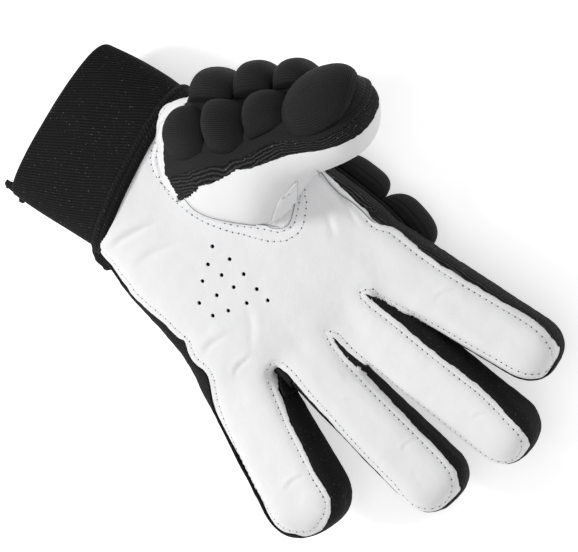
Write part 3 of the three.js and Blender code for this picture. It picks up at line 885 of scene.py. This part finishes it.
strips = {"thickness": 1.0, "edgeAt": [-60, -40, -28, -5, 8, 64, 84],
          "edgeLift": [1.3, 1.3, 0, 0, 1.6, 1.6, 0.4], "waves": [(0.3, 9, 6), (0.15, 3, 7)]}
for name, node, raised in [
        ("littleSideStrip", "little_side_strip", 0.3),
        ("fourchetteIndexMiddle", "fourchette_index_middle", 0.8),
        ("fourchetteMiddleRing", "fourchette_middle_ring", 0.8),
        ("fourchetteRingLittle", "fourchette_ring_little", 0.7),
        ("backFabric", "back_fabric", 0.3)]:
    piece = panel(name)
    points = coordinates(piece)
    edgeLift = np.interp(points[:, 1], strips["edgeAt"], strips["edgeLift"]) * (name == "littleSideStrip")
    lifted(piece, raised + edgeLift + ripples(points, strips["waves"]), 0.25)
    finishPiece(piece, name, stretchLook, [node], strips["thickness"])

# Small leather and fabric details on the surface, and thin dark tubes as painted seam and fold shadows

details = {
    "webLeft": [(-17.9, -1.2), (-21.1, -2.2), (-24.4, -3.1), (-28.2, -3.8), (-32.5, -3.4), (-38.0, -2.8)],
    "webRight": [(-20.5, 4.8), (-24.1, 5.0), (-28.4, 3.5), (-32.0, 1.9), (-35.4, -0.1), (-38.4, -2.5)],
    "webSeamShadow": [(-29.2, -3.5), (-31.5, -2.7), (-34.5, -1.6)],
    "webStitches": [(-18.8, -2.6), (-22.7, -3.4), (-26.2, -3.9), (-29.3, -4.3), (-32.3, -4.2), (-36.0, -3.9),
                    (-38.8, -3.4)],
    "holeSeamShadow": [(-5.5, -35.4), (-4.4, -29.5), (-5.9, -22.3), (-9.9, -14.0), (-13.1, -8.2), (-16.5, -2.4),
                 (-17.5, 0.9), (-20.0, 4.1), (-22.7, 5.2), (-26.9, 4.2), (-31.9, 1.8), (-36.0, -0.6),
                 (-38.4, -2.6)],
    "hemFoldShadow": [(-47.1, 1.2), (-46.2, 5.3), (-45.1, 9.6), (-44.4, 15.1), (-44.8, 20.8), (-44.4, 26.1),
                (-43.8, 30.5), (-44.0, 33.3)]}

web = {"lift": 0.75, "folds": [(0.5, 0.12, 0.08), (0.4, 0.34, 0.07)], "crease": 0.45, "creaseAt": 0.62,
       "creaseSlant": 0.12, "creaseWidth": 0.03, "slope": 0.3, "tuck": 0.8, "tuckFrom": 0.93}


def webPatch():
    left, right = [smoothLine(details[name], False, 0.2) for name in ("webLeft", "webRight")]

    def place(u, v):
        a, b = [line[round(v * (len(line) - 1))] for line in (left, right)]
        spot = a.lerp(b, u)
        fold = sum(height * bell(u - at, width) for height, at, width in web["folds"])
        crease = web["crease"] * bell(v - web["creaseAt"] + web["creaseSlant"] * u, web["creaseWidth"])
        tuck = web["tuck"] * max(u - web["tuckFrom"], 0) / (1 - web["tuckFrom"])
        return seen(spot.x, spot.y, web["lift"] + fold - crease + web["slope"] * u - tuck)
    return gridMesh(28, 44, place)


finishPiece(webPatch(), "webPatch", leatherLook, ["thumb_web_gusset"], leather["thickness"])
# Painted shadow lines: dark tubes along the seam round the thumb opening, the hem fold and the web seam.
for name, lift, radius in [("holeSeamShadow", 0.75, 0.16), ("hemFoldShadow", 0.75, 0.24), ("webSeamShadow", 1.0, 0.12)]:
    finishPiece(seam(details[name], lift, radius), name, seamShadowLook, [])

ends = rows("name node from middle to width thickness", [
    ("cuffSeamEnd1", "cuff_seam_end_1", (43.7, -103.2, 21.3), (43.6, -106.5, 21.6), (45.2, -109.4, 20.2),
     3.8, 1.8),
    ("cuffSeamEnd2", "cuff_seam_end_2", (44.2, -99.5, 17.3), (46.0, -99.4, 17.6), (48.6, -101.0, 16.6),
     3.0, 1.7),
    ("wristTab", "wrist_tab", (39.7, -61.4, 24.5), (45.6, -57.4, 24.2), (43.4, -48.9, 24.2), 5.0, 1.3)])


def curledEnd(end):
    a, b, c = [Vector(end[name]) for name in ("from", "middle", "to")]

    def place(u, v):
        centre = a * (1 - u) ** 2 + b * 2 * u * (1 - u) + c * u * u
        run = ((b - a) * (1 - u) + (c - b) * u).normalized()
        across = run.cross(Vector((0.2, 0.2, 1))).normalized()
        flat = run.cross(across)
        turn = v * 2 * math.pi
        swell = min(1, 0.55 + 2 * u, 0.12 + 5 * (1 - u))
        wave = 1 + 0.25 * noise.noise(centre / 1.3)
        return (centre + across * math.cos(turn) * end["width"] / 2 * swell * wave
                + flat * math.sin(turn) * end["thickness"] / 2 * swell)
    piece = gridMesh(16, 20, place)
    bmesh.ops.remove_doubles(piece, verts=piece.verts, dist=0.001)
    bmesh.ops.holes_fill(piece, edges=piece.edges)
    bmesh.ops.recalc_face_normals(piece, faces=piece.faces)
    return piece


for end in ends:
    finishPiece(curledEnd(end), end["name"], stretchLook, [end["node"]])

# Foam cells under stretched fabric

thumbPads = rows("name node start end low high height corner lean skew slope", [
    ("thumbCellFront1", "thumb_cell_front_1", 2.2, 3.33, 91, 141, 7, 0.8, 0, 0.36, 1),
    ("thumbCellFront2", "thumb_cell_front_2", 3.31, 4.4, 95, 146, 8.4, 0.45, -0.06, 0.42, 1),
    ("thumbCellFront3", "thumb_cell_front_3", 4.4, 5.36, 94, 144, 7.4, 0.45, -0.06, 0.42, 1),
    ("thumbCellRear1", "thumb_cell_rear_1", 2.62, 3.92, 147, 208, 10.2, 0.45, -0.12, 0.2, 0),
    ("thumbCellRear2", "thumb_cell_rear_2", 3.84, 4.84, 150, 200, 12, 0.45, -0.04, 0.25, 0),
    ("thumbCellRear3", "thumb_cell_rear_3", 4.82, 5.78, 148, 202, 9.8, 0.45, 0.04, 0.25, 0),
    ("thumbCellTip", "thumb_cell_tip", 5.32, 7.04, 77, 174, 7.8, 0.9, 0, 0, 0)])
backColumns = rows("name node low high height stations", [
    ("backCellThumbSide", "back_cell_thumb_side", 188.5, 251.7, 10.6, [1.1, 2.1, 3.1, 4.2, 5.85]),
    ("backCellMiddle", "back_cell_middle", 251.7, 272.3, 14, [0.9, 1.75, 2.75, 3.95, 5.1, 5.9]),
    ("backCellRing", "back_cell_ring", 272.3, 289.8, 14, [0.7, 1.6, 2.6, 3.75, 4.9, 5.75]),
    ("backCellLittleSide", "back_cell_little_side", 289.8, 338.5, 6.5, [1.2, 2.3, 3.3, 4.45, 5.6])])
thumbSideHeights = (11, 17, 10.8, 11.2)
foam = {"thumbFullness": 2.3, "backFullness": 3.6, "steps": 30, "baseLift": 0.4, "baseThickness": 1.6,
        "cover": 1.2, "gap": 0.3, "fill": 0.8, "arch": 12, "slant": 0.6, "shadeReach": 1.6, "shadeLow": 0.15}


def domeMesh(tube, cell, fullness, lift, lowest=None):
    reach = tube.section((cell["start"] + cell["end"]) / 2)
    width = math.radians(cell["high"] - cell["low"]) * (reach[3] + reach[4]) / 2
    length = (tube.section(cell["end"])[0] - tube.section(cell["start"])[0]).length
    corner, skew = cell["corner"], cell["skew"]
    slant = foam["slant"] if corner > 0.5 else 0  # the roundest cells run askew
    reliefs = []

    def place(u, v):
        a, b = 2 * u - 1, 2 * v - 1
        u, v = [(1 + p * math.sqrt(1 - corner * q * q / 2)) / 2 for p, q in ((a, b), (b, a))]
        station = cell["start"] + (cell["end"] - cell["start"]) * u + (1 - u) * (v - 0.5) * slant
        angle = math.radians(cell["low"] + (cell["high"] - cell["low"]) * v)
        swell = [max(1 - abs(mark) ** fullness, 0) ** 0.5 for mark in (a + skew * (1 - a * a), b)]
        # Painted shade: the rim and right flank of each cell get a darker base colour, as if they fall away
        # from the light. The "relief" layer carries this shade.
        paintedLight = min(swell[0] * swell[1] * foam["shadeReach"], 1) * (1 - 1.5 * skew * max(a, 0) ** 1.5)
        reliefs.append(foam["shadeLow"] + (1 - foam["shadeLow"]) * max(paintedLight, 0))
        if cell["slope"] and b < 0:
            swell[1] = math.cos(b * math.pi / 2) ** 0.8
        rise = cell["height"] * swell[0] * swell[1]
        point = tube.rim(station, angle, lift + rise)
        point -= tube.section(station)[5] * (cell["lean"] * rise)
        if lowest is not None:
            point.z = max(point.z, lowest)
        return point
    dome = gridMesh(foam["steps"], foam["steps"], place,
                    lambda u, v: (u * (length + foam["arch"]), v * (width + foam["arch"])))
    writeLayer(dome, "relief", reliefs)
    return dome


def finishCell(dome, name, node):
    finishPiece(dome, name, padLook, [node], foam["cover"])


for cell in thumbPads:
    finishCell(domeMesh(thumbTube, cell, foam["thumbFullness"], foam["gap"]), cell["name"], cell["node"])
backLift = foam["baseLift"] + foam["baseThickness"]
for column in backColumns:
    for i in range(len(column["stations"]) - 1):
        cell = {**column, "start": column["stations"][i], "end": column["stations"][i + 1],
                "corner": 0, "lean": 0, "skew": 0, "slope": 0}
        if cell["name"] == "backCellThumbSide":
            cell["height"] = thumbSideHeights[i]
        dome = domeMesh(palmTube, cell, foam["backFullness"], backLift + foam["gap"], 0.0)
        finishCell(dome, f"{column['name']}{i + 1}", f"{column['node']}_{i + 1}")

backSpan = {"start": 0.5, "length": 5.4, "from": 188, "around": 164}


def backBase(u, v):
    angle = math.radians(backSpan["from"] + backSpan["around"] * v)
    return palmTube.rim(backSpan["start"] + backSpan["length"] * u, angle, backLift)


finishPiece(gridMesh(60, 90, backBase), "backPadBase", baseLook, ["back_pad_base"],
            foam["baseThickness"])

# Ribbed elastic cuff

cuff = {"end": 2.55, "length": 46, "pitch": 1.36, "slant": -0.456, "rib": 0.3, "around": 760, "along": 72,
        "hemStart": 2.56, "hemEnd": 2.92, "hemLift": 1.3, "hemBow": 0.23, "hemAround": 520, "hemAlong": 14,
        "hemPitch": 1.7, "hemWall": 1.2, "inner": -1.0, "turnIn": 0.7, "turnInWidth": 1.2, "plainEdge": 1.5,
        "fold": 0.25, "foldAround": 16, "foldAlong": 30, "ridges": 1.9, "gatherTurns": 2.2}


def cuffLengths(station, count):
    ring = [cuffTube.rim(station, i / count * 2 * math.pi) for i in range(count + 1)]
    lengths = [0.0]
    for a, b in zip(ring, ring[1:]):
        lengths.append(lengths[-1] + (b - a).length)
    return lengths


def hemBow(u):
    turn = u * 2 * math.pi
    return cuff["hemBow"] * max(math.sin(turn), 0) ** 0.3 * (1 + 0.5 * math.cos(turn))


def cuffBand():
    lengths = cuffLengths(1.2, cuff["around"])
    ribs = round(lengths[-1] / cuff["pitch"])
    reliefs = []

    def place(u, v):
        arc = lengths[round(u * cuff["around"])]
        along = v * cuff["length"]
        phase = arc / lengths[-1] * ribs + along * cuff["slant"] / cuff["pitch"]
        relief = 0.5 + 0.5 * math.cos(2 * math.pi * phase)
        edge = min(v, 1 - v) * cuff["length"]
        fold = cuff["fold"] * noise.noise(Vector((arc / cuff["foldAround"], along / cuff["foldAlong"], 3)))
        # The rib height also goes into the "relief" layer, as painted highlight on the rib tops and painted
        # shade between them.
        reliefs.append(relief)
        turnIn = cuff["turnIn"] * max(1 - edge / cuff["turnInWidth"], 0) ** 2
        lift = cuff["rib"] * relief * min(edge / cuff["plainEdge"], 1) - turnIn + fold
        return cuffTube.rim((cuff["end"] + hemBow(u)) * v, u * 2 * math.pi, lift)
    bm = gridMesh(cuff["around"], cuff["along"], place)
    writeLayer(bm, "relief", reliefs)
    bmesh.ops.remove_doubles(bm, verts=bm.verts, dist=0.01)
    inner = gridMesh(96, 12, lambda u, v: cuffTube.rim(cuff["end"] * v, -u * 2 * math.pi, cuff["inner"]))
    bmesh.ops.remove_doubles(inner, verts=inner.verts, dist=0.01)
    joined(bm, inner)
    return bm


def cuffHem():
    lengths = cuffLengths(2.7, cuff["hemAround"])
    ribs = round(lengths[-1] / cuff["hemPitch"])
    reliefs = []

    def place(u, v):
        arc = lengths[round(u * cuff["hemAround"])]
        phase = arc / lengths[-1] * ribs + v * cuff["gatherTurns"]
        gather = 0.5 + 0.5 * math.cos(2 * math.pi * phase)
        across = v * cuff["ridges"]
        first, second = [max(math.sin(math.pi * t), 0) ** 0.5 for t in (min(across, 1), across - 0.9)]
        ridge = first + 0.85 * second
        # Painted shade: the "relief" layer is low in the hollows between gathered ribs and off the ridges,
        # which darkens them.
        reliefs.append(gather * min(ridge, 1))
        lift = cuff["hemLift"] * ridge * (0.8 + 0.2 * gather) - 0.3
        station = cuff["hemStart"] + (cuff["hemEnd"] - cuff["hemStart"]) * v + hemBow(u)
        return cuffTube.rim(station, u * 2 * math.pi, lift)
    bm = gridMesh(cuff["hemAround"], cuff["hemAlong"], place)
    writeLayer(bm, "relief", reliefs)
    bmesh.ops.remove_doubles(bm, verts=bm.verts, dist=0.01)
    return bm


finishPiece(cuffBand(), "cuffBand", elasticLook, ["cuff_band"])
finishPiece(cuffHem(), "cuffHem", elasticLook, ["cuff_hem"], cuff["hemWall"])

# Stitches: short threads between needle holes, laid on the leather, with flat dark discs as painted shade in
# the holes

stitch = {"pitch": 2.3, "length": 1.7, "thickness": 0.2, "lift": 0.02, "holeRadius": 0.37, "holeDepth": 0.3,
          "inset": 2.1, "holeInset": 1.6, "steepest": 0.15, "plainLeftOf": -34, "plainFrom": -30,
          "plainTo": 24}


def stitchRow(line, closed):
    points = smoothLine(line, closed, 0.5)
    spots, walked = [], 0.0
    for a, b in zip(points, points[1:]):
        walked += (b - a).length
        if walked >= stitch["pitch"]:
            walked = 0.0
            spots.append((b, (b - a).normalized()))
    return spots


def insetLine(line, inset):
    moved = []
    for i, point in enumerate(line):
        run = line[(i + 1) % len(line)] - line[i - 1]
        moved.append(point + Vector((run.y, -run.x, 0)).normalized() * inset)
    return [moved[i] for i in range(0, len(moved), 3)]


def sew(spots, surface):
    threads, holes = bmesh.new(), bmesh.new()
    for spot, run in spots:
        hit, normal = surface.ray_cast(Vector((spot.x, spot.y, 90)), Vector((0, 0, -1)))[:2]
        if hit is None or normal.z < stitch["steepest"]:
            continue
        along = (run - normal * run.dot(normal)).normalized()
        turn = Matrix([along, normal.cross(along), normal]).transposed().to_4x4()
        size = Matrix.Diagonal((stitch["length"] / 2, stitch["thickness"], stitch["thickness"], 1))
        bmesh.ops.create_uvsphere(threads, u_segments=6, v_segments=4, radius=1,
                                  matrix=Matrix.Translation(hit + normal * stitch["lift"]) @ turn @ size)
        # Painted shade: a flat dark disc at each needle hole.
        flat = Matrix.Diagonal((1, 1, stitch["holeDepth"], 1))
        bmesh.ops.create_uvsphere(holes, u_segments=6, v_segments=4, radius=stitch["holeRadius"],
                                  matrix=Matrix.Translation(hit + along * stitch["pitch"] / 2) @ turn @ flat)
    return threads, holes


spots = [(spot, run) for spot, run in stitchRow(insetLine(outline, stitch["inset"]), True)
         if spot.x > stitch["plainLeftOf"] or not stitch["plainFrom"] < spot.y < stitch["plainTo"]]
spots += stitchRow(holeStitches, False)
spots += stitchRow(insetLine(holeLine, stitch["holeInset"]), True)
threads, holes = sew(spots, palmSurface)
webRow = [(seen(spot.x, spot.y, 0), run) for spot, run in stitchRow(details["webStitches"], False)]
for part, extra in zip((threads, holes), sew(webRow, formSurface)):
    joined(part, extra)
finishPiece(threads, "palmStitches", threadLook, [])
finishPiece(holes, "palmNeedleHoles", holeShadeLook, [])

floor = toObject(gridMesh(1, 1, lambda u, v: Vector(((u - 0.5), (v - 0.5), 0)) * room["floorSize"]), "floor")
floorLook = Finish("paleFloor", Base_Color=room["floorColour"], Roughness=0.9,
                   Emission_Color=room["skyColour"], Emission_Strength=room["floorGlow"])
floor.data.materials.append(floorLook.material)
